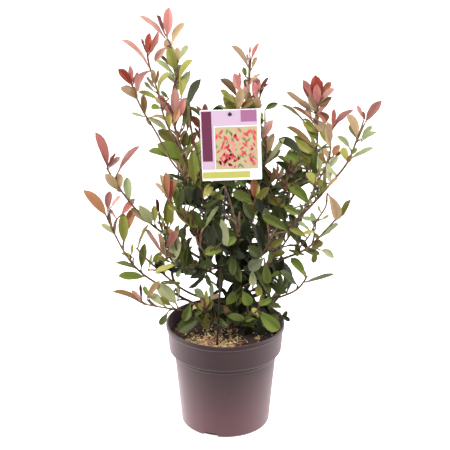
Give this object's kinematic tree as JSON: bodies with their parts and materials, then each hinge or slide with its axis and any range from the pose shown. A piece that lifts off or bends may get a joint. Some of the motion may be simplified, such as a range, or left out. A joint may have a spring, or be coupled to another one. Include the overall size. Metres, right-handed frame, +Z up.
{
  "type": "potted evergreen shrub",
  "caption": "Young evergreen shrub with coral-red new leaves on upright shoots, in a round tapered nursery pot with a picture card on a slim stick.",
  "frame": {"origin": "centre of the pot's flat underside, on the surface it stands on", "axes": "+Z up along the pot's axis; the picture card and the side seen in the picture face -Y; +X is to the right as seen from that side"},
  "size_m": [0.5664, 0.4405, 0.8198],
  "materials": {
    "pot": "satin",
    "soil": "matte",
    "label_stick": "satin",
    "label_card": "satin",
    "bark": "matte",
    "foliage": "satin"
  },
  "bodies": {
    "root": {"pot": "pot", "soil": "soil", "label_stick": "label_stick", "label_card": "label_card", "trunk": "bark", "bough_middle": "bark", "bough_left_leader": "bark", "bough_left_long": "bark", "bough_left_mid": "bark", "bough_left_pink": "bark", "bough_left_low_inner": "bark", "bough_left_low": "bark", "bough_left_lowest": "bark", "bough_right_long": "bark", "bough_right_rosette": "bark", "bough_right_mid": "bark", "bough_right_low": "bark", "bough_back_left": "bark", "bough_back_right": "bark", "bough_back_middle": "bark", "leaves_middle": "foliage", "leaves_left_leader": "foliage", "leaves_left_long": "foliage", "leaves_left_mid": "foliage", "leaves_left_pink": "foliage", "leaves_left_low_inner": "foliage", "leaves_left_low": "foliage", "leaves_left_lowest": "foliage", "leaves_right_long": "foliage", "leaves_right_rosette": "foliage", "leaves_right_mid": "foliage", "leaves_right_low": "foliage", "leaves_back_left": "foliage", "leaves_back_right": "foliage", "leaves_back_middle": "foliage", "leaves_front_left": "foliage", "leaves_front_middle": "foliage", "leaves_front_right": "foliage", "leaves_left_fork": "foliage", "leaves_left_upper": "foliage", "leaves_left_shoulder": "foliage", "leaves_left_inner": "foliage", "leaves_card_left": "foliage", "leaves_middle_twin": "foliage", "leaves_card_right": "foliage", "leaves_back_upper": "foliage", "leaves_right_fork": "foliage", "leaves_right_upturn": "foliage", "leaves_right_inner": "foliage", "leaves_centre_bud": "foliage", "leaves_front_pair": "foliage", "leaves_front_mid_right": "foliage", "leaves_front_low_right": "foliage", "leaves_front_low_left": "foliage", "leaves_right_lowest": "foliage", "leaves_right_base": "foliage", "leaves_back_low_left": "foliage", "leaves_back_low_right": "foliage"}
  },
  "joints": []
}
